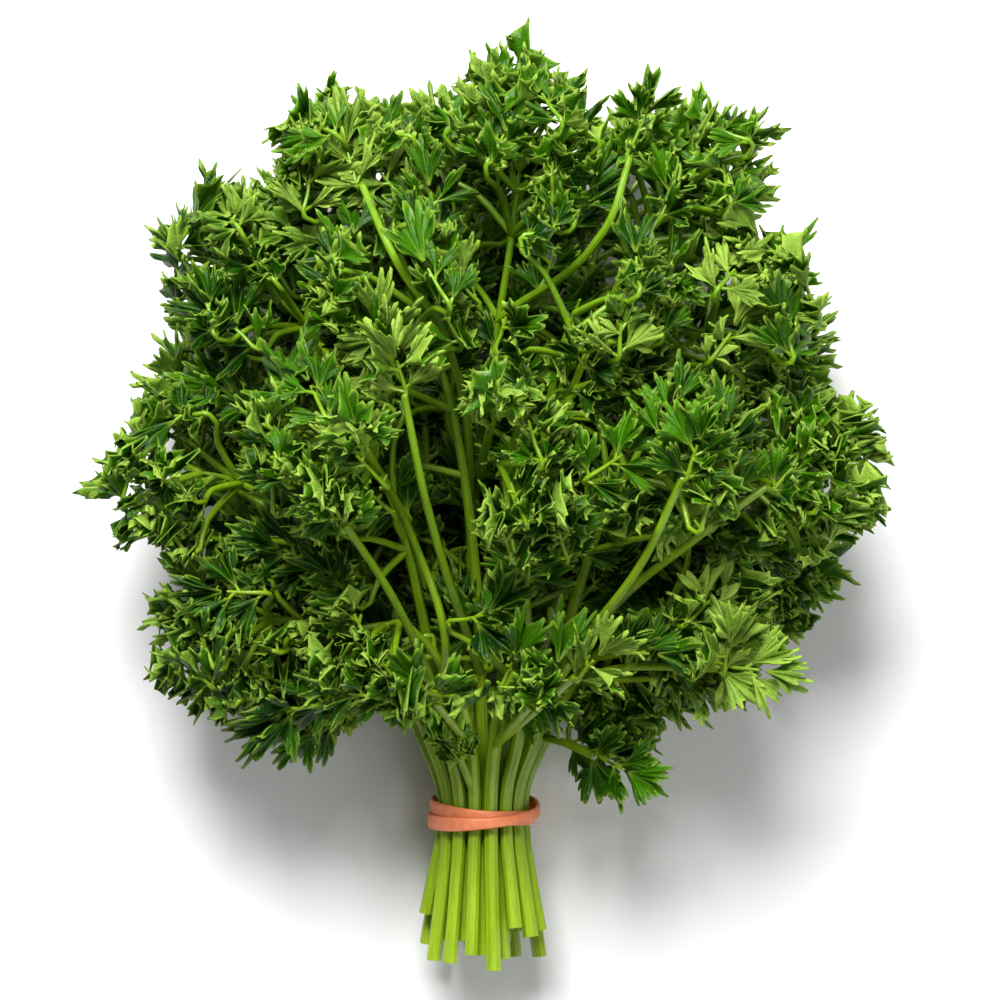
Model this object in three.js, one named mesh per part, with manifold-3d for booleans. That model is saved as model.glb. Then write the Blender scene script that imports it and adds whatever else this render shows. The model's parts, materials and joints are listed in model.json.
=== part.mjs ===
// A bunch of curly parsley lying on its side, tied with a rubber band that is wound twice.
// Millimetres, +Z up. +Y runs from the cut ends to the crown of leaves, +X is to the right
// when the bunch is seen from above with its cut ends nearest.
//
// Each sprig is two solids: a stalk, which runs from its cut end through the band into the
// crown, and the mass that its curled leaves take up. Places in the crown are shares of its
// half width, its reach and its height, measured from the middle of the band.

import * as THREE from "three";
import { mergeVertices } from "three/addons/utils/BufferGeometryUtils.js";
import Module from "manifold-3d";

const wasm = await Module();
wasm.setup();

// ---- Driving dimensions ----

const CROWN_WIDTH = 222; // across the leaves
const CROWN_REACH = 218; // from the band to the furthest leaf
const CROWN_HEIGHT = 118; // thickness of the crown as it lies
const TAIL_LENGTH = 44; // from the band to the longest cut end
const SHORTEST_TAIL = 0.64; // the shortest cut end, as a share of the longest

const STALK_DIAMETER = 4.3; // the thickest stalk where the band holds it
const THINNEST_STALK = 0.8; // the thinnest, as a share of the thickest
const CUT_END_FLARE = 1.06; // a stalk's radius at its cut end, over that in the band
const RIB_TAPER = 0.42; // and at its tip among the leaves
const TAIL_SPLAY = 1.38; // how far the cut ends spread, over the bundle in the band
const NECK_SPLAY = 1.42; // and the stalks just past the band
const NECK_LENGTH = 20;

const BAND_WIDTH = 4;
const BAND_THICKNESS = 0.8;
const BAND_CROSSING = 50; // degrees round from +X to where the two turns cross

const CLEARANCE = 0.32; // between pieces that touch
const EASING_ROOM = 0.5; // wanted between stalks that pass each other in the crown
const EASING_REACH = 60; // length of stalk that moves aside
const EASING_ROUNDS = 200;

// ---- Mesh fineness ----

const STALK_SIDES = 6;
const MASS_DETAIL = 2;
const NECK_POINT = 4; // the point of a stalk's route at the neck, the first past the band
const BEND_SPANS = 7; // spans of the route between the neck and the leaves
const BAND_SIDES = 8;
const BAND_STEPS = 40;

// ---- The sprigs, in the order of their seats round each ring of the bundle ----
// at is where the leaves are: across (-1 left to 1 right), along (0 band to 1 furthest leaf)
// and up (0 table to 1 top). spread and depth are the leaf mass's half sizes, across the
// crown's surface and through it, over the usual ones.

const LEAF_WIDTH = 0.1306; // usual half size of one sprig's leaves, over the crown's width
const LEAF_LENGTH = 0.133; // over its reach
const LEAF_HEIGHT = 0.2458; // and over its height
const LEAF_FLATNESS = 0.724; // usual half thickness of the leaf mass, over its half width

const RINGS = [
  {
    // the core: long stalks that reach the far end
    firstSeat: 30,
    sprigs: [
      { at: [0.48, 0.81, 0.5], spread: 1, depth: 1 },
      { at: [0.1, 0.86, 0.53], spread: 1, depth: 1 },
      { at: [-0.3, 0.83, 0.52], spread: 1, depth: 1 },
    ],
  },
  {
    firstSeat: 18,
    sprigs: [
      { at: [0.63, 0.66, 0.57], spread: 1, depth: 1 },
      { at: [0.24, 0.66, 0.77], spread: 1.05, depth: 0.95 },
      { at: [-0.18, 0.67, 0.74], spread: 1.05, depth: 0.95 },
      { at: [-0.58, 0.7, 0.47], spread: 1, depth: 1 },
      { at: [-0.42, 0.75, 0.21], spread: 1, depth: 1 },
      { at: [-0.22, 0.6, 0.18], spread: 1, depth: 1 },
      { at: [-0.08, 0.83, 0.22], spread: 1, depth: 1 },
      { at: [0.2, 0.6, 0.18], spread: 1, depth: 1 },
      { at: [0.34, 0.8, 0.21], spread: 1, depth: 1 },
      { at: [0.66, 0.58, 0.21], spread: 1, depth: 1 },
    ],
  },
  {
    // the outside: shorter stalks that bend outwards all round
    firstSeat: -11.25,
    sprigs: [
      { at: [0.8, 0.45, 0.48], spread: 1, depth: 1 },
      { at: [0.54, 0.26, 0.49], spread: 0.95, depth: 0.85 },
      { at: [0.44, 0.46, 0.76], spread: 1, depth: 0.95 },
      { at: [0.04, 0.46, 0.83], spread: 1, depth: 0.9 },
      { at: [0.13, 0.21, 0.54], spread: 0.88, depth: 0.62 },
      { at: [-0.26, 0.25, 0.56], spread: 0.88, depth: 0.66 },
      { at: [-0.35, 0.48, 0.75], spread: 1, depth: 0.95 },
      { at: [-0.62, 0.25, 0.42], spread: 0.95, depth: 0.95 },
      { at: [-0.74, 0.45, 0.48], spread: 1, depth: 1 },
      { at: [-0.62, 0.56, 0.19], spread: 1, depth: 1 },
      { at: [-0.45, 0.2, 0.18], spread: 0.82, depth: 0.8 },
      { at: [-0.48, 0.37, 0.18], spread: 1, depth: 0.9 },
      { at: [-0.05, 0.39, 0.15], spread: 0.95, depth: 0.75 },
      { at: [0.36, 0.38, 0.17], spread: 0.95, depth: 0.85 },
      { at: [0.36, 0.16, 0.17], spread: 0.6, depth: 0.7 },
      { at: [0.7, 0.33, 0.17], spread: 0.9, depth: 0.85 },
    ],
  },
];

// ---- Sizes worked out from the driving dimensions ----

// Each ring is as small as its stalks allow, beside each other and round the ring inside it.
const SEAT_PITCH = STALK_DIAMETER + CLEARANCE;
RINGS.forEach((ring, i) => {
  const fitsRound = SEAT_PITCH / (2 * Math.sin(Math.PI / ring.sprigs.length));
  const fitsInside = i ? RINGS[i - 1].radius + SEAT_PITCH : 0;
  ring.radius = Math.max(fitsRound, fitsInside);
});
const BUNDLE_RADIUS = RINGS.at(-1).radius + STALK_DIAMETER / 2;

// Where the band's turns cross, one lies on the other, so the path swings in and out.
const BAND_SWING = 0.8 * BAND_THICKNESS + CLEARANCE / 2;
const BAND_STAGGER = 0.66 * BAND_WIDTH;
const BAND_REACH = BAND_STAGGER + BAND_WIDTH; // the stalks run straight this far either way
const BAND_RADIUS = BUNDLE_RADIUS + CLEARANCE + BAND_SWING + BAND_THICKNESS / 2;
const BAND_OUTSIDE = BAND_RADIUS + BAND_SWING + BAND_THICKNESS / 2;

// The band and the lowest cut ends both rest on the table.
const LOWEST_CUT_END =
  RINGS.at(-1).radius * TAIL_SPLAY + (STALK_DIAMETER / 2) * CUT_END_FLARE;
const AXIS_HEIGHT = Math.max(BAND_OUTSIDE, LOWEST_CUT_END);

const LEAF_HALF = new THREE.Vector3(
  LEAF_WIDTH * CROWN_WIDTH,
  LEAF_LENGTH * CROWN_REACH,
  LEAF_HEIGHT * CROWN_HEIGHT,
);
const LARGEST_HALF = Math.max(...LEAF_HALF.toArray());

// The leaves point away from here.
const CROWN_MIDDLE = new THREE.Vector3(
  0.03 * CROWN_WIDTH,
  0.5 * CROWN_REACH,
  0.42 * CROWN_HEIGHT,
);

// ---- Helpers ----

// The same number between 0 and 1 each time, for sprig n and use k.
function vary(n, k) {
  const wave = Math.sin(n * 12.9898 + k * 78.233) * 43758.5453;
  return wave - Math.floor(wave);
}

function between(low, high, share) {
  return low + (high - low) * share;
}

function solidOf(geometry) {
  const bare = geometry.clone();
  bare.deleteAttribute("normal");
  bare.deleteAttribute("uv");
  const merged = mergeVertices(bare, 1e-3);
  return new wasm.Manifold(
    new wasm.Mesh({
      numProp: 3,
      vertProperties: new Float32Array(merged.attributes.position.array),
      triVerts: new Uint32Array(merged.index.array),
    }),
  );
}

function geometryOf(solid) {
  const mesh = solid.getMesh();
  const made = new THREE.BufferGeometry();
  made.setAttribute("position", new THREE.BufferAttribute(mesh.vertProperties, 3));
  made.setIndex(new THREE.BufferAttribute(mesh.triVerts, 1));
  made.computeVertexNormals();
  return made;
}

// A closed tube: a cylinder with one ring of vertices moved to each point of the route and
// turned to face along it. extra is added all over: to the radius and past both ends.
function tubeAlong(route, radiusAt, extra) {
  const steps = route.length - 1;
  const tube = new THREE.CylinderGeometry(1, 1, 1, STALK_SIDES, steps);
  const place = tube.attributes.position;
  const rings = [];
  const up = new THREE.Vector3(0, 0, 1);
  for (let step = 0; step <= steps; step++) {
    const before = route[Math.max(0, step - 1)];
    const after = route[Math.min(steps, step + 1)];
    const tangent = after.clone().sub(before).normalize();
    up.addScaledVector(tangent, -up.dot(tangent)).normalize();
    const pastEnd = step === steps ? extra : step === 0 ? -extra : 0;
    rings.push({
      middle: route[step].clone().addScaledVector(tangent, pastEnd),
      up: up.clone(),
      side: new THREE.Vector3().crossVectors(tangent, up),
      radius: radiusAt(step) + extra,
    });
  }
  for (let i = 0; i < place.count; i++) {
    const ring = rings[Math.round((place.getY(i) + 0.5) * steps)];
    const point = ring.middle.clone();
    point.addScaledVector(ring.side, place.getX(i) * ring.radius);
    point.addScaledVector(ring.up, place.getZ(i) * ring.radius);
    place.setXYZ(i, point.x, point.y, point.z);
  }
  tube.computeVertexNormals();
  return tube;
}

// ---- Sprigs ----

function layOut() {
  const sprigs = [];
  for (const ring of RINGS) {
    ring.sprigs.forEach((sprig, seat) => {
      const turn = ring.firstSeat + (360 / ring.sprigs.length) * seat;
      const angle = THREE.MathUtils.degToRad(turn);
      sprigs.push({
        ...sprig,
        number: sprigs.length + 1,
        seatX: ring.radius * Math.cos(angle),
        seatZ: ring.radius * Math.sin(angle),
        leaves: new THREE.Vector3(
          (sprig.at[0] * CROWN_WIDTH) / 2,
          sprig.at[1] * CROWN_REACH,
          sprig.at[2] * CROWN_HEIGHT,
        ),
      });
    });
  }
  return sprigs;
}

// The points a stalk passes through: from its cut end, straight through the band, out of the
// neck of the bundle, then in one bend to the middle of its leaves.
function stalkRoute(sprig) {
  const { seatX, seatZ, leaves, number } = sprig;
  const inBundle = (splay, y) =>
    new THREE.Vector3(seatX * splay, y, AXIS_HEIGHT + seatZ * splay);
  const tail = TAIL_LENGTH * between(SHORTEST_TAIL, 1, vary(number, 1));
  const neck = inBundle(NECK_SPLAY, NECK_LENGTH);
  const length = neck.distanceTo(leaves);
  const ahead = neck.clone().sub(inBundle(1, BAND_REACH)).setLength(0.42 * length);
  const outwards = leaves.clone().sub(CROWN_MIDDLE).setLength(0.2 * length);
  const bend = new THREE.CubicBezierCurve3(
    neck,
    neck.clone().add(ahead),
    leaves.clone().sub(outwards),
    leaves,
  );
  return [
    inBundle(TAIL_SPLAY, -tail),
    inBundle(between(1, TAIL_SPLAY, 0.35), -tail / 2),
    inBundle(1, -BAND_REACH),
    inBundle(1, BAND_REACH),
    ...bend.getSpacedPoints(BEND_SPANS),
  ];
}

// step counts along the route's points.
function stalkRadius(sprig, step) {
  const inBand =
    (STALK_DIAMETER / 2) * between(THINNEST_STALK, 1, vary(sprig.number, 2));
  const flared = between(CUT_END_FLARE, 1, Math.min(1, step / 2));
  const alongBend = Math.max(0, step - NECK_POINT) / BEND_SPANS;
  return inBand * flared * between(1, RIB_TAPER, alongBend);
}

function stalk(sprig, extra = 0) {
  return tubeAlong(sprig.route, (step) => stalkRadius(sprig, step), extra);
}

// Stalks that would run into each other between the neck and the leaves are eased apart, a
// little at a time, where they come closest.
function easeApart(sprigs) {
  for (let round = 0; round < EASING_ROUNDS; round++) {
    let touching = false;
    for (const sprig of sprigs) sprig.samples = sampleRoute(sprig);
    for (const [i, a] of sprigs.entries()) {
      for (const b of sprigs.slice(i + 1)) {
        const meeting = closest(a, b);
        if (meeting.room > 0) continue;
        touching = true;
        const push = meeting.onA.clone().sub(meeting.onB);
        push.setLength(0.6 * (CLEARANCE - meeting.room));
        nudge(a, meeting.onA, push);
        nudge(b, meeting.onB, push.negate());
      }
    }
    if (!touching) return;
  }
}

// Points along a stalk past the band, with its radius at each.
function sampleRoute(sprig) {
  const samples = [];
  for (let step = NECK_POINT - 1; step < sprig.route.length - 1; step += 0.2) {
    const before = Math.floor(step);
    const middle = sprig.route[before]
      .clone()
      .lerp(sprig.route[before + 1], step - before);
    samples.push({ middle, radius: stalkRadius(sprig, step) });
  }
  return samples;
}

// Where two stalks come closest past the band, and the room they leave there.
function closest(a, b) {
  const best = { room: Infinity };
  for (const p of a.samples) {
    for (const q of b.samples) {
      if (Math.abs(p.middle.y - q.middle.y) > 3 * STALK_DIAMETER) continue;
      const apart = p.middle.distanceTo(q.middle);
      const room = apart - p.radius - q.radius - EASING_ROOM;
      if (room < best.room) {
        Object.assign(best, { room, onA: p.middle, onB: q.middle });
      }
    }
  }
  return best;
}

// Moves a stalk's route near a place on it, less near the band, which holds it.
function nudge(sprig, place, push) {
  sprig.route.forEach((point, step) => {
    const near = Math.max(0, 1 - point.distanceTo(place) / EASING_REACH);
    const free = THREE.MathUtils.clamp((step - NECK_POINT + 1) / 3, 0, 1);
    point.addScaledVector(push, near * free);
    if (free > 0) point.z = Math.max(point.z, STALK_DIAMETER);
  });
}

// A lumpy flattened ball, its short axis pointing out of the crown.
function leafBall(sprig) {
  const ball = new THREE.IcosahedronGeometry(1, MASS_DETAIL);
  const outwards = sprig.leaves.clone().sub(CROWN_MIDDLE);
  outwards.x /= CROWN_WIDTH;
  outwards.y /= CROWN_REACH;
  outwards.z /= CROWN_HEIGHT;
  const turn = new THREE.Quaternion().setFromUnitVectors(
    new THREE.Vector3(0, 0, 1),
    outwards.normalize(),
  );
  const place = ball.attributes.position;
  const phase = 6 * vary(sprig.number, 3);
  for (let i = 0; i < place.count; i++) {
    const p = new THREE.Vector3().fromBufferAttribute(place, i);
    const lump = 1 + 0.07 * Math.sin(5 * p.x + phase) * Math.cos(4 * p.y - phase);
    p.multiplyScalar(lump);
    p.x *= sprig.spread;
    p.y *= sprig.spread;
    p.z *= LEAF_FLATNESS * sprig.depth;
    p.applyQuaternion(turn).multiply(LEAF_HALF).add(sprig.leaves);
    place.setXYZ(i, p.x, p.y, p.z);
  }
  return solidOf(ball);
}

// A block that holds everything beyond a plane, for cutting.
function beyond(point, normal) {
  const side = 4 * LARGEST_HALF;
  const block = new THREE.BoxGeometry(side, side, side);
  block.translate(0, 0, side / 2);
  block.applyQuaternion(
    new THREE.Quaternion().setFromUnitVectors(new THREE.Vector3(0, 0, 1), normal),
  );
  block.translate(point.x, point.y, point.z);
  return solidOf(block);
}

// The ball, cut back halfway to each neighbour and at the table, with a channel for each
// stalk that runs into it or through it.
function leafMass(sprig, sprigs) {
  let mass = leafBall(sprig);
  const down = new THREE.Vector3(0, 0, -1);
  const under = new THREE.Vector3(sprig.leaves.x, sprig.leaves.y, 0);
  mass = mass.subtract(beyond(under, down));
  for (const other of sprigs) {
    const apart = other.leaves.clone().sub(sprig.leaves);
    if (other === sprig || apart.length() > 2.4 * LARGEST_HALF) continue;
    const share = sprig.spread / (sprig.spread + other.spread);
    const normal = apart.clone().normalize();
    const wall = sprig.leaves.clone().addScaledVector(apart, share);
    mass = mass.subtract(beyond(wall.addScaledVector(normal, -CLEARANCE / 2), normal));
  }
  for (const other of sprigs) mass = mass.subtract(solidOf(stalk(other, CLEARANCE)));
  // A channel near the edge can leave a loose crumb beside the mass.
  const bodies = mass.decompose();
  return bodies.reduce((a, b) => (b.volume() > a.volume() ? b : a));
}

// ---- Rubber band ----

// A torus laid twice round the bundle, with a flat section: the turns lie side by side on
// one side of the bundle and cross, one over the other, on the opposite side.
function rubberBand() {
  const band = new THREE.TorusGeometry(1, 0.5, BAND_SIDES, BAND_STEPS);
  const place = band.attributes.position;
  const start = THREE.MathUtils.degToRad(BAND_CROSSING - 180);
  for (let i = 0; i < place.count; i++) {
    const round = 4 * Math.PI * band.attributes.uv.getX(i);
    const section = 2 * Math.PI * band.attributes.uv.getY(i);
    const squared = (wave) => Math.sign(wave) * Math.sqrt(Math.abs(wave));
    const radius =
      BAND_RADIUS +
      BAND_SWING * Math.sin(round / 2) +
      (BAND_THICKNESS / 2) * squared(Math.cos(section));
    place.setXYZ(
      i,
      radius * Math.cos(start + round),
      BAND_STAGGER * Math.cos(round / 2) -
        (BAND_WIDTH / 2) * squared(Math.sin(section)),
      AXIS_HEIGHT + radius * Math.sin(start + round),
    );
  }
  return geometryOf(solidOf(band));
}

// ---- Materials ----

const stalkGreen = new THREE.MeshStandardMaterial({
  color: 0x86b02c,
  roughness: 0.45,
  metalness: 0,
});
const leafGreen = new THREE.MeshStandardMaterial({
  color: 0x2f6f14,
  roughness: 0.55,
  metalness: 0,
});
const coralRubber = new THREE.MeshStandardMaterial({
  color: 0xf08560,
  roughness: 0.6,
  metalness: 0,
});

// ---- Assembly ----

const bunch = new THREE.Group();
bunch.name = "parsley_bunch";

function add(name, geometry, material) {
  const mesh = new THREE.Mesh(geometry, material);
  mesh.name = name;
  bunch.add(mesh);
}

const sprigs = layOut();
for (const sprig of sprigs) sprig.route = stalkRoute(sprig);
easeApart(sprigs);
for (const sprig of sprigs) {
  const label = String(sprig.number).padStart(2, "0");
  add(`stalk_${label}`, stalk(sprig), stalkGreen);
  add(`leaves_${label}`, geometryOf(leafMass(sprig, sprigs)), leafGreen);
}
add("rubber_band", rubberBand(), coralRubber);

// The origin is on the table under the middle of the bunch.
const box = new THREE.Box3().setFromObject(bunch);
const middle = box.getCenter(new THREE.Vector3());
bunch.position.set(-middle.x, -middle.y, -box.min.z);

export default bunch;
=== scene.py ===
"""A bunch of curly parsley lying on its side, its cut stalks tied with a rubber band."""

import json
import math
import random

import bmesh
import bpy
from mathutils import Matrix, Vector

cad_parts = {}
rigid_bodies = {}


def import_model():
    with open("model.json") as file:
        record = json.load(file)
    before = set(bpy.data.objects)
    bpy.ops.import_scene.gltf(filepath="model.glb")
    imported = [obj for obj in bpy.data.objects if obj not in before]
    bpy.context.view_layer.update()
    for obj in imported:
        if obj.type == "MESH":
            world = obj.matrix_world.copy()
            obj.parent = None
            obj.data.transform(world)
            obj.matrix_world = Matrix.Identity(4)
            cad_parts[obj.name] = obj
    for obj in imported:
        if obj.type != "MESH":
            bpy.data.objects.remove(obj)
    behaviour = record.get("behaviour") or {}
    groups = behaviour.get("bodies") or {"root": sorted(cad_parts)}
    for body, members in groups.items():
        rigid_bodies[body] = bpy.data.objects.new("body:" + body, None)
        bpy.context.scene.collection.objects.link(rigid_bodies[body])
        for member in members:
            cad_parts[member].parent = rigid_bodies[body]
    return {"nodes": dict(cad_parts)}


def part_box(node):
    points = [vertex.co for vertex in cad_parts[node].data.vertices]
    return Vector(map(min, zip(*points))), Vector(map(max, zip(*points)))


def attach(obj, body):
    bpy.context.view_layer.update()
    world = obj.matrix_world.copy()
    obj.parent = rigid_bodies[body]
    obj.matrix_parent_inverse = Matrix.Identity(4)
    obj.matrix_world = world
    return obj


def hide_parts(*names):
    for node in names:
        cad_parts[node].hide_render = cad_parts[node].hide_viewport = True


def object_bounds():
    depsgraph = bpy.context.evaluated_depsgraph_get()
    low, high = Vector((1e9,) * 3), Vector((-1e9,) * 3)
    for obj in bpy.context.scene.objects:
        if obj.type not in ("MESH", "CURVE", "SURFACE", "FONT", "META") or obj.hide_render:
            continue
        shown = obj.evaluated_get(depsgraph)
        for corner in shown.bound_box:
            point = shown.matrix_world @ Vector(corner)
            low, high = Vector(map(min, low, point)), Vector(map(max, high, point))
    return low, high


for leftover in list(bpy.data.objects):
    bpy.data.objects.remove(leftover)

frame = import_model()
cad_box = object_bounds()


# ---- Table, lights and camera ----
# The bunch lies on a plain pale table under a large soft light from beyond its crown, with a
# weaker one opposite. The camera is straight above, with the cut ends nearest the viewer.

low, high = cad_box
middle = (low + high) / 2

bpy.ops.object.select_all(action="DESELECT")
bpy.ops.mesh.primitive_plane_add(size=4)
table = bpy.context.object
table.name = "table"
pale = bpy.data.materials.new("pale_table")
pale.use_nodes = True
pale.node_tree.nodes["Principled BSDF"].inputs["Base Color"].default_value = (0.9, 0.9, 0.9, 1)
pale.node_tree.nodes["Principled BSDF"].inputs["Roughness"].default_value = 0.9
table.data.materials.append(pale)

world = bpy.data.worlds.new("studio")
world.use_nodes = True
world.node_tree.nodes["Background"].inputs["Color"].default_value = (1, 1, 1, 1)
world.node_tree.nodes["Background"].inputs["Strength"].default_value = 0.16
bpy.context.scene.world = world
bpy.context.scene.view_settings.view_transform = "Standard"


def soft_light(name, place, size, power):
    """A square area light at place, aimed at the middle of the bunch."""
    bpy.ops.object.light_add(type="AREA", location=place)
    lamp = bpy.context.object
    lamp.name = name
    lamp.data.size = size
    lamp.data.energy = power
    lamp.rotation_euler = (middle - Vector(place)).to_track_quat("-Z", "Y").to_euler()


soft_light("key_light", (-0.15, 0.8, 1.0), 0.6, 32)
soft_light("fill_light", (0.7, -0.6, 0.9), 1.2, 6)

CAMERA_HEIGHT = 1.25
VIEW_WIDTH = 0.278  # of the plane through the middle of the bunch
camera_data = bpy.data.cameras.new("camera")
camera_data.lens = camera_data.sensor_width * (CAMERA_HEIGHT - middle.z) / VIEW_WIDTH
camera = bpy.data.objects.new("camera", camera_data)
# A little to the right of the middle, and towards the crown.
camera.location = (0.0015, 0.0065, CAMERA_HEIGHT)
bpy.context.collection.objects.link(camera)
bpy.context.scene.camera = camera


# ---- Stalks ----
# Each sprig stands on one fleshy stalk, ribbed lengthwise, juicy and pale where it was cut.
# The stalks run through the band and bend apart into the crown.

RIBS = 8
RIB_DEPTH = 0.14  # of the stalk's radius
CHANNEL_DEPTH = 0.22  # of the wider channel down one side
SECTION_POINTS = 32
TOP_TAPER = 0.4  # of a stalk's last ring, which ends among its leaves
CUT_RIM = 0.0004  # the skin round a cut end, and how far the flesh inside it has shrunk back


def centreline(node):
    """The middle and radius of each ring of a CAD stalk, from its cut end."""
    shape = bmesh.new()
    shape.from_mesh(node.data)
    bmesh.ops.remove_doubles(shape, verts=shape.verts, dist=1e-6)
    cut_end = sorted(shape.verts, key=lambda v: v.co.y)[:7]
    centre = sum((v.co for v in cut_end), Vector()) / len(cut_end)
    layer = {min(cut_end, key=lambda v: (v.co - centre).length)}
    seen = set(layer)
    rings = []
    while True:
        layer = {e.other_vert(v) for v in layer for e in v.link_edges} - seen
        if len(layer) < 3:
            break
        seen |= layer
        ring = sum((v.co for v in layer), Vector()) / len(layer)
        radius = sum((v.co - ring).length for v in layer) / len(layer)
        rings.append((ring, radius))
    shape.free()
    rings[-1] = (rings[-1][0], TOP_TAPER * rings[-1][1])
    return rings


def alone(piece):
    """Makes piece the only selected object, and the active one."""
    bpy.ops.object.select_all(action="DESELECT")
    piece.select_set(True)
    bpy.context.view_layer.objects.active = piece


def ribbed_section():
    """A closed curve, about one unit across from its middle: a stalk's outline, cut across."""
    curve = bpy.data.curves.new("rib_section", "CURVE")
    spline = curve.splines.new("POLY")
    spline.use_cyclic_u = True
    spline.points.add(SECTION_POINTS - 1)
    for i, point in enumerate(spline.points):
        turn = math.tau * i / SECTION_POINTS - math.pi
        groove = RIB_DEPTH * (0.5 + 0.5 * math.cos(RIBS * turn)) ** 1.5
        channel = CHANNEL_DEPTH * math.exp(-((turn / 0.5) ** 2))
        reach = 1 - max(groove, channel)
        point.co = (1.06 * reach * math.cos(turn), 0.96 * reach * math.sin(turn), 0, 1)
    section = bpy.data.objects.new("rib_section", curve)
    bpy.context.collection.objects.link(section)
    return section


section = ribbed_section()


def tube(name, lines, turn=0, sides=None, smoothness=6):
    """One mesh of a tube along each line of (point, radius), ribbed if it has no sides given."""
    curve = bpy.data.curves.new(name, "CURVE")
    curve.dimensions = "3D"
    curve.resolution_u = smoothness
    curve.use_fill_caps = True
    if sides is None:
        curve.bevel_mode = "OBJECT"
        curve.bevel_object = section
    else:
        curve.bevel_depth = 1
        curve.bevel_resolution = (sides - 4) // 2
    for line in lines:
        spline = curve.splines.new("BEZIER")
        spline.bezier_points.add(len(line) - 1)
        for k, (knot, (place, radius)) in enumerate(zip(spline.bezier_points, line)):
            knot.co = place
            knot.radius = radius
            knot.tilt = turn + 0.06 * k
            knot.handle_left_type = knot.handle_right_type = "AUTO"
    made = bpy.data.objects.new(name, curve)
    bpy.context.collection.objects.link(made)
    alone(made)
    bpy.ops.object.convert(target="MESH")
    bpy.ops.object.shade_smooth()
    return bpy.context.object


def cut_end_detail(stalk):
    """Hollows the cut end a little, inside a thin rim of skin."""
    bpy.ops.object.mode_set(mode="EDIT")
    bpy.ops.mesh.select_all(action="DESELECT")
    bpy.ops.object.mode_set(mode="OBJECT")
    cap = min(stalk.data.polygons, key=lambda p: p.center.y - 0.01 * len(p.vertices))
    cap.select = True
    bpy.ops.object.mode_set(mode="EDIT")
    bpy.ops.mesh.inset(thickness=CUT_RIM)
    bpy.ops.transform.translate(value=(0, CUT_RIM, 0))
    bpy.ops.object.mode_set(mode="OBJECT")


def stalk_material():
    """Glossy skin, paler towards the cut end, with fine and broad streaks along the stalk."""
    made = bpy.data.materials.new("stalk_skin")
    made.use_nodes = True
    nodes = made.node_tree.nodes
    link = made.node_tree.links.new
    skin = nodes["Principled BSDF"]
    skin.inputs["Roughness"].default_value = 0.3
    skin.inputs["Specular IOR Level"].default_value = 0.5
    skin.inputs["Subsurface Weight"].default_value = 0.15
    skin.inputs["Subsurface Radius"].default_value = (0.6, 1, 0.2)
    skin.inputs["Subsurface Scale"].default_value = 0.002
    place = nodes.new("ShaderNodeTexCoord")
    # Paler towards the cut end.
    along = nodes.new("ShaderNodeSeparateXYZ")
    link(place.outputs["Object"], along.inputs[0])
    share = nodes.new("ShaderNodeMapRange")
    share.inputs["From Min"].default_value = low.y
    share.inputs["From Max"].default_value = high.y - 0.06
    link(along.outputs["Y"], share.inputs["Value"])
    ramp = nodes.new("ShaderNodeValToRGB")
    ramp.color_ramp.elements[0].color = (0.32, 0.47, 0.010, 1)
    ramp.color_ramp.elements[1].color = (0.19, 0.37, 0.007, 1)
    ramp.color_ramp.elements.new(0.28).color = (0.25, 0.40, 0.006, 1)
    link(share.outputs[0], ramp.inputs[0])
    # Fine streaks that run along the stalk.
    stretch = nodes.new("ShaderNodeMapping")
    stretch.inputs["Scale"].default_value = (1600, 60, 1600)
    link(place.outputs["Object"], stretch.inputs[0])
    streaks = nodes.new("ShaderNodeTexNoise")
    streaks.inputs["Scale"].default_value = 1
    link(stretch.outputs[0], streaks.inputs["Vector"])
    mix = nodes.new("ShaderNodeMix")
    mix.data_type = "RGBA"
    mix.blend_type = "MULTIPLY"
    mix.inputs["Factor"].default_value = 0.8
    tone = nodes.new("ShaderNodeValToRGB")
    tone.color_ramp.elements[0].position = 0.3
    tone.color_ramp.elements[0].color = (0.5, 0.62, 0.35, 1)
    tone.color_ramp.elements[1].position = 0.7
    tone.color_ramp.elements[1].color = (1.1, 1.05, 1.3, 1)
    # Broad streaks tell one stalk from the next.
    broad = nodes.new("ShaderNodeMapping")
    broad.inputs["Scale"].default_value = (330, 9, 330)
    link(place.outputs["Object"], broad.inputs[0])
    bands = nodes.new("ShaderNodeTexNoise")
    bands.inputs["Scale"].default_value = 1
    link(broad.outputs[0], bands.inputs["Vector"])
    both = nodes.new("ShaderNodeMix")
    both.inputs["Factor"].default_value = 0.55
    link(streaks.outputs["Fac"], both.inputs["A"])
    link(bands.outputs["Fac"], both.inputs["B"])
    link(both.outputs["Result"], tone.inputs[0])
    link(ramp.outputs[0], mix.inputs["A"])
    link(tone.outputs[0], mix.inputs["B"])
    link(mix.outputs["Result"], skin.inputs["Base Color"])
    bump = nodes.new("ShaderNodeBump")
    bump.inputs["Strength"].default_value = 0.25
    bump.inputs["Distance"].default_value = 0.0003
    link(streaks.outputs["Fac"], bump.inputs["Height"])
    link(bump.outputs[0], skin.inputs["Normal"])
    return made


stalk_skin = stalk_material()


# ---- Leaflet shapes ----
# A curly leaflet is one thin wedge of tissue, cut into lobes of three blunt fingers each. Its
# margin has grown too long to lie flat, so the lobes fold and the fingers curl. Open leaflets,
# crisped ones and tight mossy ones are modelled several times each, to be copied.

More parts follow.
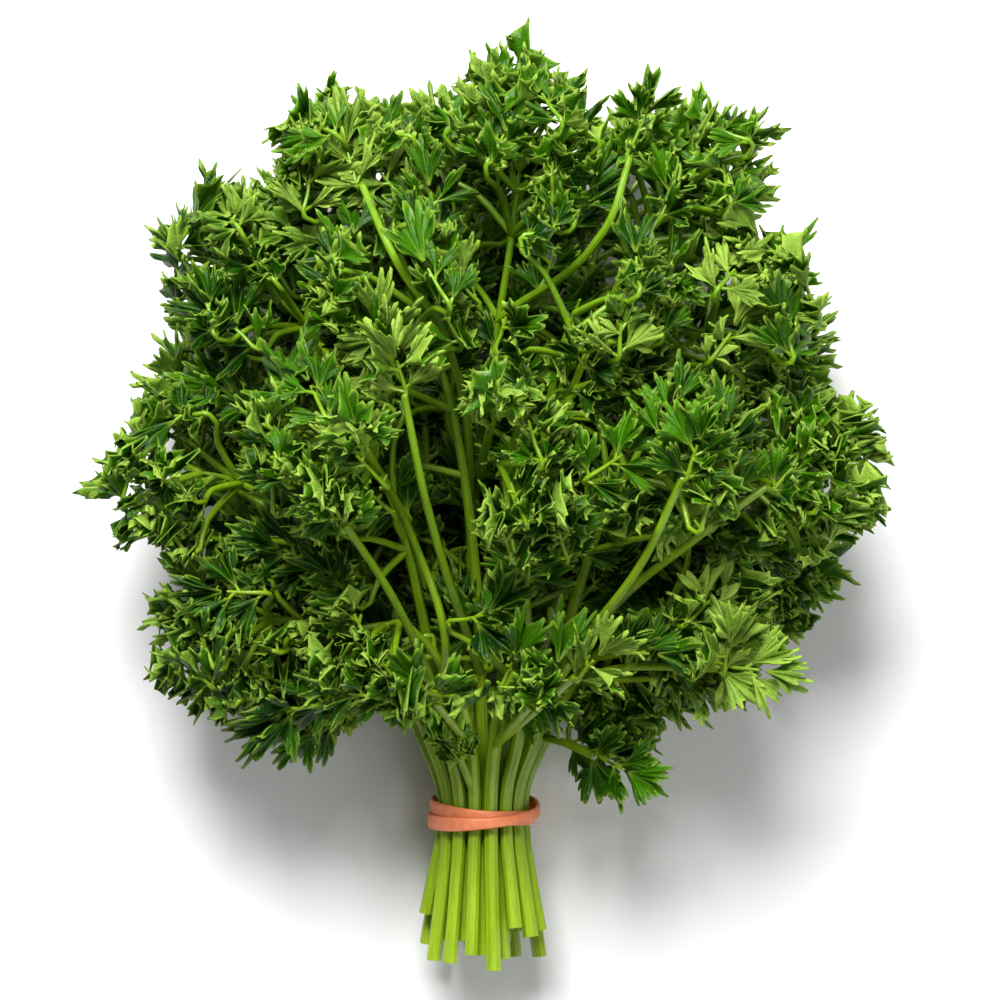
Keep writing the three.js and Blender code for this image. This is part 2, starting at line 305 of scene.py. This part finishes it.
# The outline of a finger between its notches: how far each point is from its middle, as a
# share of the pitch, and how far out it reaches.
ROUND_TIP = ((-0.39, 0.86), (-0.17, 1), (0.17, 1), (0.39, 0.86))
BLUNT_TIP = ((-0.27, 0.95), (0.27, 0.95))
OVAL_TIP = ((-0.36, 0.88), (0, 1), (0.36, 0.88))
SIDE_FINGER = 0.9  # reach of a lobe's outer fingers, over its middle one
FINGER_NOTCH = 0.74
EDGE_REACH = 0.55  # of the two sides of the wedge
LEAFLET_ROWS = 3  # of facets from the foot to the fingers
LEAFLET_VARIETY = 10  # shapes of each kind
LEAF_THICKNESS = 0.0003


def leaf_material(name, dark, light, vein, margin_and_highlight, roughness, bump_strength):
    """Leaf tissue with veins that fan out to the fingers; tone is how light each leaflet's green
    is, lowered as painted shade for leaflets inside the crown and under other sprigs.
    """
    made = bpy.data.materials.new(name)
    made.use_nodes = True
    nodes = made.node_tree.nodes
    link = made.node_tree.links.new
    tissue = nodes["Principled BSDF"]
    tissue.inputs["Roughness"].default_value = roughness
    tissue.inputs["Specular IOR Level"].default_value = 0.16
    tissue.inputs["Subsurface Weight"].default_value = 0.25
    tissue.inputs["Subsurface Radius"].default_value = (0.6, 1, 0.12)
    tissue.inputs["Subsurface Scale"].default_value = 0.0012

    def put(socket, value):
        if hasattr(value, "is_linked"):
            link(value, socket)
        else:
            socket.default_value = value

    def number(operation, first, second=0.0):
        node = nodes.new("ShaderNodeMath")
        node.operation = operation
        put(node.inputs[0], first)
        put(node.inputs[1], second)
        return node.outputs[0]

    def mixed(factor, first, second):
        node = nodes.new("ShaderNodeMix")
        node.data_type = "RGBA"
        put(node.inputs["Factor"], factor)
        put(node.inputs["A"], first)
        put(node.inputs["B"], second)
        return node.outputs["Result"]

    def ramp(value, *stops):
        node = nodes.new("ShaderNodeMapRange")
        node.interpolation_type = "SMOOTHSTEP"
        for socket, stop in zip(("From Min", "From Max", "To Min", "To Max"), stops):
            node.inputs[socket].default_value = stop
        link(value, node.inputs["Value"])
        return node.outputs[0]

    def from_ridge(count):
        """0 on the line down the middle of each finger, or of each third one."""
        middle = number("SUBTRACT", number("FRACT", number("MULTIPLY", across, count)), 0.5)
        return number("ABSOLUTE", middle)

    blade = nodes.new("ShaderNodeUVMap")
    blade.uv_map = "blade"
    split = nodes.new("ShaderNodeSeparateXYZ")
    link(blade.outputs[0], split.inputs[0])
    across, out = split.outputs["X"], split.outputs["Y"]
    lobe_vein = ramp(from_ridge(1 / 3), 0.0, 0.06, 0.8, 0)
    finger_ridge = ramp(from_ridge(1), 0.0, 0.25, 0.3, 0)
    finger_vein = number("MULTIPLY", finger_ridge, ramp(out, 0.3, 0.6, 0, 1))
    fading = ramp(out, 0.5, 1, 1, 0.1)
    veins = number("MULTIPLY", number("MAXIMUM", lobe_vein, finger_vein), fading)

    place = nodes.new("ShaderNodeTexCoord")
    blotch = nodes.new("ShaderNodeTexNoise")
    blotch.inputs["Scale"].default_value = 240
    blotch.inputs["Detail"].default_value = 3
    link(place.outputs["Object"], blotch.inputs["Vector"])
    quilt = nodes.new("ShaderNodeTexVoronoi")
    quilt.inputs["Scale"].default_value = 1100
    link(place.outputs["Object"], quilt.inputs["Vector"])

    tone = nodes.new("ShaderNodeAttribute")
    tone.attribute_name = "tone"
    blotched = number("MULTIPLY", number("SUBTRACT", blotch.outputs["Fac"], 0.5), 0.8)
    shade = number("ADD", tone.outputs["Fac"], blotched)
    body = mixed(ramp(shade, 0, 1, 0, 1), dark, light)
    veined = mixed(veins, body, vein)
    # The newest tissue, along the margin and at the foot, is the palest; along the rim this pale
    # colour is also a painted highlight on the curled finger tips.
    pale_rim_and_highlight = number("MAXIMUM", ramp(out, 0.78, 1.0, 0, 0.5), ramp(out, 0.0, 0.22, 0.7, 0))
    link(mixed(pale_rim_and_highlight, veined, margin_and_highlight), tissue.inputs["Base Color"])

    quilted = number("MULTIPLY", quilt.outputs["Distance"], -0.5)
    relief = number("ADD", number("MULTIPLY", veins, 0.4), quilted)
    bump = nodes.new("ShaderNodeBump")
    bump.inputs["Strength"].default_value = bump_strength
    bump.inputs["Distance"].default_value = 0.0004
    link(relief, bump.inputs["Height"])
    link(bump.outputs[0], tissue.inputs["Normal"])
    return made


leaf_top = leaf_material(
    "leaf_top",
    dark=(0.003, 0.028, 0.0002, 1),
    light=(0.042, 0.152, 0.0008, 1),
    vein=(0.08, 0.21, 0.004, 1),
    # The margin colour is partly paler young tissue and partly a painted highlight on the curled
    # rims.
    margin_and_highlight=(0.25, 0.40, 0.035, 1),
    roughness=0.36,
    bump_strength=0.6,
)
leaf_under = leaf_material(
    "leaf_under",
    dark=(0.05, 0.13, 0.003, 1),
    light=(0.25, 0.39, 0.045, 1),
    vein=(0.40, 0.56, 0.12, 1),
    # The margin colour is partly paler young tissue and partly a painted highlight on the curled
    # rims.
    margin_and_highlight=(0.37, 0.55, 0.06, 1),
    roughness=0.6,
    bump_strength=0.8,
)


def leaflet_shape(name, luck, lobes, tip, fan, size, cut, fold, frill, curl):
    """One leaflet with its foot at the origin, growing along +Y with its top up.

    fan is its whole angle, size its length, cut how far in its lobes part. fold is how steeply
    its lobes tilt by turns up and down, frill how steeply their fingers do, and curl how far
    they all bend up, in radians at the tip.
    """
    outline = [(-0.5, FINGER_NOTCH), *tip]
    fingers = 3 * lobes
    columns = len(outline) * fingers
    lobe_reach = [luck.uniform(0.85, 1.06) for _ in range(lobes)]
    lobe_tilt = [(-1) ** k * luck.uniform(0.3, 1) * fold for k in range(lobes)]
    finger_reach = [luck.uniform(0.88, 1.08) for _ in range(fingers)]
    finger_tilt = [luck.uniform(-1, 1) * frill for _ in range(fingers)]
    crease = luck.uniform(0.02, 0.07) * size
    twist = luck.uniform(-0.35, 0.35)
    foot = 0.04 * size
    shape = {}
    for column in range(columns + 1):
        finger, part = divmod(column, len(outline))
        beside, reach = outline[part]
        share = (finger + 0.5 + beside) / fingers
        off_axis = abs(2 * share - 1)
        if column in (0, columns):
            reach = EDGE_REACH
        elif column % (3 * len(outline)) == 0:
            reach = 1 - cut
        elif part:
            reach *= (1 if finger % 3 == 1 else SIDE_FINGER) * finger_reach[finger]
        # A notch shares its slopes between the fingers and the lobes on either side of it.
        last = max(finger - 1, 0) if part == 0 else finger
        finger = min(finger, fingers - 1)
        full = size * (1 - 0.22 * off_axis ** 2) * reach
        full *= (lobe_reach[finger // 3] + lobe_reach[last // 3]) / 2
        lobe_slope = (lobe_tilt[finger // 3] + lobe_tilt[last // 3]) / 2
        finger_slope = (finger_tilt[finger] + finger_tilt[last]) / 2
        flat = rise = foot
        before = 0
        for row in range(LEAFLET_ROWS + 1):
            out = (row / LEAFLET_ROWS) ** 0.65
            slope = curl * out ** 1.5 + lobe_slope * min(1, 2 * out) + finger_slope * out ** 3
            flat += math.cos(slope) * full * (out - before)
            rise += math.sin(slope) * full * (out - before)
            before = out
            heading = fan * (share - 0.5) * (0.5 + 0.5 * out)
            valley = crease * out * math.cos(math.tau * share * lobes)
            shape[column, row] = (
                flat * math.sin(heading),
                flat * math.cos(heading),
                rise - foot - valley + twist * flat * math.sin(heading),
            )
    bpy.ops.mesh.primitive_grid_add(
        x_subdivisions=columns, y_subdivisions=LEAFLET_ROWS, size=1
    )
    leaflet = bpy.context.object
    leaflet.name = name
    mesh = leaflet.data
    for vertex in mesh.vertices:
        column = round((vertex.co.x + 0.5) * columns)
        row = round((vertex.co.y + 0.5) * LEAFLET_ROWS)
        vertex.co = shape[column, row]
    grid_map = mesh.uv_layers[0]
    grid_map.name = "blade"
    for corner in grid_map.uv:
        corner.vector = (corner.vector.x * fingers, corner.vector.y)
    mesh.materials.append(leaf_top)
    mesh.materials.append(leaf_under)
    alone(leaflet)
    bpy.ops.object.modifier_add(type="SOLIDIFY")
    wall = leaflet.modifiers[-1]
    wall.thickness = LEAF_THICKNESS
    wall.offset = -1
    wall.material_offset = 1
    bpy.ops.object.modifier_apply(modifier=wall.name)
    bpy.ops.object.shade_smooth()
    mesh.attributes.new("tone", "FLOAT", "POINT")
    bpy.context.collection.objects.unlink(leaflet)
    return leaflet


luck = random.Random(7)
open_leaflets = []
crisped_leaflets = []
mossy_leaflets = []
for k in range(LEAFLET_VARIETY):
    fan = math.radians(luck.uniform(65, 105))
    curl = luck.uniform(-0.5, 0.7)
    leaflet = leaflet_shape(
        f"open_{k}", luck, lobes=3, tip=ROUND_TIP, fan=fan,
        size=0.0155, cut=0.46, fold=0.35, frill=0.8, curl=curl,
    )
    open_leaflets.append(leaflet)
    fan = math.radians(luck.uniform(85, 135))
    curl = luck.uniform(0.2, 1.1)
    leaflet = leaflet_shape(
        f"crisped_{k}", luck, lobes=4, tip=OVAL_TIP, fan=fan,
        size=0.0128, cut=0.46, fold=0.6, frill=1.2, curl=curl,
    )
    crisped_leaflets.append(leaflet)
    fan = math.radians(luck.uniform(120, 180))
    curl = luck.uniform(0.5, 1.5)
    leaflet = leaflet_shape(
        f"mossy_{k}", luck, lobes=5, tip=BLUNT_TIP, fan=fan,
        size=0.0098, cut=0.5, fold=0.9, frill=1.6, curl=curl,
    )
    mossy_leaflets.append(leaflet)


# ---- Sprigs ----
# The stalk of each sprig branches among its leaves, and each branch carries five leaflets on
# short stalks of their own. The leaves are pressed flat where the bunch lies.

OUTER_PINNAE = 11  # branches over the outer side of a sprig's leaves
INNER_PINNAE = 3  # and lower down its stalk; a long stalk has twice as many
BRANCH_RADIUS = 0.0009
TWIG_RADIUS = 0.0006
TWIG_TIP_RADIUS = 0.0004
SHOOT_RADIUS = 0.0013
PINNA_LENGTH = 0.012  # of the stalk that a branch's leaflets stand on
BRANCH_ANGLE = math.radians(35)  # between a branch and the stalk it leaves
LENGTH_WEIGHT = 12  # radians off that angle that a metre of branch counts for
INNER_ASIDE = 0.022  # from the stalk to the leaflets of an inner branch, sideways
INNER_AHEAD = 0.016  # and onwards
LOW_ASIDE = 0.030  # and the same for the branches of a long stalk that lies low
LOW_AHEAD = 0.012
FAVOURITE_SHARE = 0.65  # of a sprig's outer branches carry only its own kind of leaflet
# The five leaflets of a branch: how far along they stand, on which side, and their size.
FIVE = ((1, 0, 1.1), (0.7, -1, 0.95), (0.8, 1, 0.95), (0.05, -1, 0.85), (0.15, 1, 0.85))
PRESSED_BELOW = 0.004  # leaves this near the table are squeezed towards it
PRESSED_ABOVE = 0.114  # and leaves that stand up over the rest are bent down
PRESSED_ROOM = 0.011  # into this much height
BUNDLE_TOP = 0.042  # the height of the stalks where no leaves stand over them
PROBE_REACH = 0.004  # round a place, when the height of its leaves is felt for
SHOOT_SINK = 0.005  # how far below the tops of the leaves a shoot lies
SHOOT_TIP = 0.010  # from a shoot's end to the middle of its leaflets
BARE_WIDTH = 0.003  # no leaflet lies over a shoot nearer to its middle than this
BARE_SHARE = 0.85  # of each stretch of a shoot is kept bare; leaflets may cover the rest
LEAFLET_REACHES = (0.002, 0.007, 0.012)  # the places along a leaflet that are compared

MIXED = open_leaflets + crisped_leaflets + mossy_leaflets
# What the leaves of a sprig are like: most of its leaflets, the share of its branches that
# are turned over with their pale undersides out, and how light a green they are.
HABITS = {
    1: (crisped_leaflets, 0.4, 0.7),
    2: (crisped_leaflets, 0.2, 0.55),
    3: (open_leaflets, 0.65, 0.6),
    4: (open_leaflets, 0.5, 0.6),
    5: (crisped_leaflets, 0.1, 0.4),
    6: (open_leaflets, 0.35, 0.5),
    7: (open_leaflets, 0.3, 0.3),
    14: (mossy_leaflets, 0.35, 0.8),
    15: (crisped_leaflets, 0.3, 0.6),
    16: (open_leaflets, 0.3, 0.5),
    17: (crisped_leaflets, 0.2, 0.4),
    18: (open_leaflets, 0.1, 0.65),
    19: (mossy_leaflets, 0.1, 0.4),
    20: (open_leaflets, 0.3, 0.45),
    21: (mossy_leaflets, 0.05, 0.35),
    22: (mossy_leaflets, 0.1, 0.4),
}
USUAL_HABIT = (MIXED, 0.2, 0.45)
# Long shoots that lie over the others: from which point of a stalk, through which places on
# the crown, with which leaflets, turned over or not.
SHOOTS = {
    3: [(6, [(-0.014, 0.052), (-0.026, 0.070), (-0.036, 0.092)], open_leaflets, True)],
    2: [
        (9, [(0.030, 0.080), (0.037, 0.100)], crisped_leaflets, False),
        (7, [(0.000, 0.030)], crisped_leaflets, False),
    ],
    6: [(5, [(-0.018, 0.004), (-0.024, 0.034)], open_leaflets, True)],
    20: [
        (5, [(-0.014, -0.030), (-0.022, -0.006), (-0.034, 0.020)], open_leaflets, False),
        (5, [(-0.028, -0.020), (-0.040, 0.000)], crisped_leaflets, False),
    ],
    16: [
        (5, [(0.034, -0.022), (0.056, -0.003), (0.074, 0.010)], crisped_leaflets, False),
        (5, [(0.026, -0.030), (0.040, -0.010), (0.050, 0.012)], open_leaflets, False),
    ],
    14: [(5, [(0.038, -0.040), (0.062, -0.040)], open_leaflets, True)],
    18: [
        (4, [(0.010, -0.050)], open_leaflets, False),
        (4, [(0.022, -0.042)], open_leaflets, True),
        (4, [(0.004, -0.058)], crisped_leaflets, False),
    ],
    19: [
        (4, [(-0.016, -0.050)], open_leaflets, False),
        (3, [(-0.010, -0.066)], mossy_leaflets, False),
    ],
    24: [(4, [(-0.024, -0.050)], mossy_leaflets, False)],
    28: [(4, [(0.018, -0.062), (0.028, -0.066)], open_leaflets, False)],
}

leaf_boxes = [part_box(name) for name in frame["nodes"] if name.startswith("leaves")]
crown_low = Vector([min(box[0][axis] for box in leaf_boxes) for axis in range(3)])
crown_high = Vector([max(box[1][axis] for box in leaf_boxes) for axis in range(3)])
crown_middle = crown_low.lerp(crown_high, 0.5)
crown_middle.z = crown_low.z + 0.42 * (crown_high.z - crown_low.z)
crown_size = crown_high - crown_low


def across_from(direction, wanted):
    """wanted, with the part of it that lies along direction taken out."""
    flat = wanted - direction * wanted.dot(direction)
    return flat.normalized() if flat.length > 1e-6 else direction.orthogonal().normalized()


def jitter(luck, amount):
    return amount * Vector([luck.uniform(-1, 1) for _ in range(3)])


def crown_top(x, y):
    """How high the leaves stand at a place, or the bundle where there are none."""
    top = BUNDLE_TOP
    for name, node in frame["nodes"].items():
        if name.startswith("leaves"):
            for aside, ahead in ((0, 0), (1, 0), (-1, 0), (0, 1), (0, -1)):
                above = Vector((x + PROBE_REACH * aside, y + PROBE_REACH * ahead, 1))
                hit, place, _, _ = node.ray_cast(above, Vector((0, 0, -1)))
                top = max(top, place.z if hit else 0)
    return top


def branch_start(line, target):
    """The place on the stalk from which a branch to target leaves at the usual angle."""
    best = (math.inf, None)
    for step in range(len(line) // 2, len(line) - 1):
        along = line[step + 1][0] - line[step][0]
        for part in range(4):
            place = line[step][0].lerp(line[step + 1][0], part / 4)
            away = target - place
            cost = abs(away.angle(along, 0) - BRANCH_ANGLE) + LENGTH_WEIGHT * away.length
            best = min(best, (cost, place), key=lambda pair: pair[0])
    return best[1]


def pinna(luck, start, target, growth, facing, kind, lightness):
    """The stems and the five leaflets of a branch from start, spread round target."""
    stems = []
    grown = []
    axis = across_from(facing, (target - start) + 0.5 * (target - start).length * growth)
    axis = (axis + jitter(luck, 0.15)).normalized()
    length = PINNA_LENGTH * luck.uniform(0.8, 1.15)
    foot = target - axis * length * 0.9
    end = foot + axis * length + facing * luck.uniform(-0.001, 0.001)
    elbow = start.lerp(foot, 0.55) + 0.07 * (foot - start).length * growth
    radii = (
        BRANCH_RADIUS * 1.2,
        BRANCH_RADIUS,
        BRANCH_RADIUS * 0.8,
        TWIG_RADIUS,
        TWIG_TIP_RADIUS,
    )
    stems.append(list(zip((start, elbow, foot, foot.lerp(end, 0.5), end), radii)))
    for share, side, size in FIVE:
        spread = math.radians(side * luck.uniform(38, 68) + luck.uniform(-8, 8))
        heading = Matrix.Rotation(spread, 3, facing) @ axis
        heading = (heading + facing * luck.uniform(-0.35, 0.4)).normalized()
        knot = foot.lerp(end, share)
        base = knot + heading * luck.uniform(0.0005, 0.002)
        if side:
            stems.append([(knot, TWIG_RADIUS), (base + heading * 0.0008, TWIG_TIP_RADIUS)])
        top = across_from(heading, facing + jitter(luck, 0.45) + 0.2 * side * axis.cross(facing))
        turned = Matrix((heading.cross(top), heading, top)).transposed().to_4x4()
        scale = Matrix.Scale(size * luck.uniform(0.85, 1.15), 4)
        tone = lightness + luck.uniform(-0.3, 0.3)
        grown.append((luck.choice(kind), Matrix.Translation(base) @ turned @ scale, tone))
    return stems, grown


def shoot_line(line, step, way):
    """A shoot's points, from the middle of the stalk and over the leaves."""
    places = [line[step][0]] + [Vector((x, y, crown_top(x, y) - SHOOT_SINK)) for x, y in way]
    for before, place, after in zip(places, places[1:], places[2:]):
        place.z = (before.z + 2 * place.z + after.z) / 4
    radii = [SHOOT_RADIUS * (1 - 0.2 * k / len(way)) for k in range(len(places))]
    return list(zip(places, radii))


def under_shoot(place):
    """Whether a leaflet would hide a shoot from above."""
    tips = [place @ Vector((0, reach, 0)) for reach in LEAFLET_REACHES]
    for shoot in all_shoots:
        for (first, _), (second, _) in zip(shoot, shoot[1:]):
            along = (second - first).xy
            for tip in tips:
                share = (tip - first).xy.dot(along) / max(along.length_squared, 1e-9)
                share = min(max(share, 0), BARE_SHARE)
                nearest = first.lerp(second, share)
                if (tip - nearest).xy.length < BARE_WIDTH and tip.z > nearest.z - 0.002:
                    return True
    return False


def sprig_plan(number, line):
    """Where the twigs and leaflets of one sprig are."""
    luck = random.Random(100 + number)
    box_low, box_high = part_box(f"leaves_{number:02d}")
    centre = (box_low + box_high) / 2
    half = (box_high - box_low) / 2
    outwards = Vector([(centre[a] - crown_middle[a]) / crown_size[a] for a in range(3)])
    outwards.normalize()
    growth = (line[-1][0] - line[-3][0]).normalized()
    favourite, turned_over, lightness = HABITS.get(number, USUAL_HABIT)
    branches = []
    forward = across_from(outwards, growth)
    sideways = outwards.cross(forward)
    golden = math.pi * (3 - math.sqrt(5))
    for k in range(OUTER_PINNAE):
        # From the outermost point of the leaf mass down round its sides.
        tilt = math.acos(1 - 1.3 * (k + 0.3) / OUTER_PINNAE)
        turn = golden * k + number
        round_axis = forward * math.cos(turn) + sideways * math.sin(turn)
        reach = outwards * math.cos(tilt) + round_axis * math.sin(tilt)
        reach = (reach + jitter(luck, 0.12)).normalized()
        out = (0.93 - 0.15 * tilt) * luck.uniform(0.9, 1.03)
        target = centre + out * Vector([reach[a] * half[a] for a in range(3)])
        facing = (reach + 0.5 * outwards).normalized()
        if luck.random() < turned_over:
            facing = -facing
        kind = favourite if luck.random() < FAVOURITE_SHARE else MIXED
        start = branch_start(line, target)
        branches.append(pinna(luck, start, target, growth, facing, kind, lightness))
    for k in range(INNER_PINNAE * (2 if centre.y > crown_middle.y else 1)):
        start = line[-2 - k][0]
        around = Matrix.Rotation(golden * k + number, 3, growth) @ across_from(growth, outwards)
        target = start + INNER_ASIDE * around + INNER_AHEAD * growth
        facing = (around + Vector((0, 0, 0.8))).normalized()
        # Inner leaflets get a darker tone: painted shade for the inside of the crown.
        branches.append(pinna(luck, start, target, growth, facing, open_leaflets, 0.3))
    if centre.y > crown_middle.y and centre.z < crown_middle.z:
        # A long stalk that lies low spreads branches to both sides, under the other sprigs.
        for step, side in ((-3, -1), (-3, 1), (-5, -1), (-5, 1)):
            start = line[step][0]
            aside = side * growth.cross(Vector((0, 0, 1))).normalized()
            target = start + LOW_ASIDE * aside + LOW_AHEAD * growth
            facing = Vector((0, 0, 1))
            # Their leaflets get the darkest tone: painted shade for lying under the other
            # sprigs.
            branches.append(pinna(luck, start, target, growth, facing, open_leaflets, 0.2))
    # No leaflet grows where it would hide a shoot, and no branch that has lost most of them.
    twigs = []
    leaflets = []
    for stems, grown in branches:
        clear = [leaflet for leaflet in grown if not under_shoot(leaflet[1])]
        if len(clear) > len(grown) // 2:
            twigs += stems
            leaflets += clear
    for (_, _, kind, over), shoot in zip(SHOOTS.get(number, []), shoots[number]):
        growth = (shoot[-1][0] - shoot[-2][0]).normalized()
        facing = across_from(growth, Vector((0, 0, -1 if over else 1)))
        end = shoot[-1][0]
        target = end + SHOOT_TIP * growth
        stems, grown = pinna(luck, end, target, growth, facing, kind, 0.6)
        twigs += stems
        leaflets += grown
    return twigs, leaflets


sprig_count = sum(name.startswith("stalk_") for name in frame["nodes"])
lines = {n: centreline(frame["nodes"][f"stalk_{n:02d}"]) for n in range(1, sprig_count + 1)}
shoots = {n: [] for n in lines}
for number, plans in SHOOTS.items():
    for step, way, _, _ in plans:
        shoots[number].append(shoot_line(lines[number], step, way))
all_shoots = [shoot for group in shoots.values() for shoot in group]


def joined(base, others):
    """base with the other objects' meshes taken into it."""
    alone(base)
    for other in others:
        other.select_set(True)
    bpy.ops.object.join()
    return base


def press(piece):
    """Squeezes what would be under the table, or too high, into the room left for it."""
    for vertex in piece.data.vertices:
        over = vertex.co.z - PRESSED_ABOVE
        if vertex.co.z < PRESSED_BELOW:
            vertex.co.z = PRESSED_BELOW * math.exp(vertex.co.z / PRESSED_BELOW - 1)
        elif over > 0:
            vertex.co.z = PRESSED_ABOVE + PRESSED_ROOM * (1 - math.exp(-over / PRESSED_ROOM))


for number, line in lines.items():
    label = f"{number:02d}"
    twigs, leaflets = sprig_plan(number, line)

    stalk = tube(f"ribbed_stalk_{label}", [line], turn=2.4 * number)
    cut_end_detail(stalk)
    joined(stalk, [tube("shoot", [shoot], turn=number) for shoot in shoots[number]])
    joined(stalk, [tube("twigs", twigs, sides=6, smoothness=3)])
    stalk.data.materials.clear()
    stalk.data.materials.append(stalk_skin)
    press(stalk)
    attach(stalk, "root")
    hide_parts(f"stalk_{label}")

    leaves = bpy.data.objects.new(f"curled_leaves_{label}", bpy.data.meshes.new("leaves"))
    bpy.context.collection.objects.link(leaves)
    leaves.data.materials.append(leaf_top)
    leaves.data.materials.append(leaf_under)
    grown = []
    for shape, place, tone in leaflets:
        leaflet = bpy.data.objects.new("leaflet", shape.data.copy())
        leaflet.matrix_world = place
        tones = [tone] * len(leaflet.data.vertices)
        leaflet.data.attributes["tone"].data.foreach_set("value", tones)
        bpy.context.collection.objects.link(leaflet)
        grown.append(leaflet)
    bpy.context.view_layer.update()
    joined(leaves, grown)
    press(leaves)
    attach(leaves, "root")
    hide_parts(f"leaves_{label}")

bpy.data.objects.remove(section)
for shape in MIXED:
    bpy.data.objects.remove(shape)


# ---- Rubber band ----
# One flat loop of coral rubber, wound twice round the stalks. Its turns lie side by side and
# cross at the upper right, where the band is twisted a little.

BAND_WIDTH = 0.0042
BAND_THICKNESS = 0.0013
BAND_STAGGER = 0.0024  # of each turn along the bundle, to either side of the band's middle
BAND_CROSSING = math.radians(50)  # where the turns cross, up from the right

band_low, band_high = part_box("rubber_band")
band_middle = (band_low + band_high) / 2
band_radius = (band_high.x - band_low.x) / 2 - BAND_THICKNESS * 1.3


def squared(wave):
    """Flattens the round of a sine or cosine, for a section with blunt corners."""
    return math.copysign(abs(wave) ** 0.6, wave)


bpy.ops.object.select_all(action="DESELECT")
bpy.ops.mesh.primitive_torus_add(
    major_radius=1, minor_radius=0.25, major_segments=200, minor_segments=16
)
band = bpy.context.object
band.name = "coral_rubber_band"
for vertex in band.data.vertices:
    x, y, z = vertex.co
    once = math.atan2(y, x) % math.tau
    around = math.atan2(z, math.hypot(x, y) - 1)
    swept = 2 * once
    crossing = math.sin(once)
    ripple = 0.00015 * math.sin(5 * swept + 1) + 0.0001 * math.sin(9 * once)
    thick = BAND_THICKNESS / 2 * squared(math.cos(around))
    narrowing = 1 - 0.3 * math.exp(-((crossing - 1) / 0.12) ** 2)
    wide = -BAND_WIDTH / 2 * squared(math.sin(around)) * narrowing
    lean = 0.2 * math.sin(2 * once + 0.6) + 0.5 * math.exp(-((once - math.pi / 2) / 0.3) ** 2)
    radial = thick * math.cos(lean) - wide * math.sin(lean) * 0.5
    axial = wide * math.cos(lean) + thick * math.sin(lean)
    radius = band_radius + 0.75 * BAND_THICKNESS * crossing + radial + ripple
    start = BAND_CROSSING - math.pi
    vertex.co = (
        band_middle.x + radius * math.cos(start + swept),
        band_middle.y + BAND_STAGGER * math.cos(once) + axial - 0.0013 * math.sin(start + swept),
        band_middle.z + radius * math.sin(start + swept),
    )
bpy.ops.object.mode_set(mode="EDIT")
bpy.ops.mesh.select_all(action="SELECT")
bpy.ops.mesh.normals_make_consistent(inside=False)
bpy.ops.object.mode_set(mode="OBJECT")
bpy.ops.object.shade_smooth()

rubber = bpy.data.materials.new("coral_rubber")
rubber.use_nodes = True
nodes = rubber.node_tree.nodes
link = rubber.node_tree.links.new
surface = nodes["Principled BSDF"]
surface.inputs["Roughness"].default_value = 0.45
place = nodes.new("ShaderNodeTexCoord")
dust = nodes.new("ShaderNodeTexNoise")
dust.inputs["Scale"].default_value = 500
dust.inputs["Detail"].default_value = 4
link(place.outputs["Object"], dust.inputs["Vector"])
shade = nodes.new("ShaderNodeValToRGB")
shade.color_ramp.elements[0].position = 0.3
shade.color_ramp.elements[0].color = (0.78, 0.21, 0.085, 1)
shade.color_ramp.elements[1].position = 0.72
shade.color_ramp.elements[1].color = (0.88, 0.29, 0.13, 1)
link(dust.outputs["Fac"], shade.inputs[0])
link(shade.outputs[0], surface.inputs["Base Color"])
grain = nodes.new("ShaderNodeBump")
grain.inputs["Strength"].default_value = 0.2
grain.inputs["Distance"].default_value = 0.0002
link(dust.outputs["Fac"], grain.inputs["Height"])
link(grain.outputs[0], surface.inputs["Normal"])
band.data.materials.append(rubber)
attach(band, "root")
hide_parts("rubber_band")
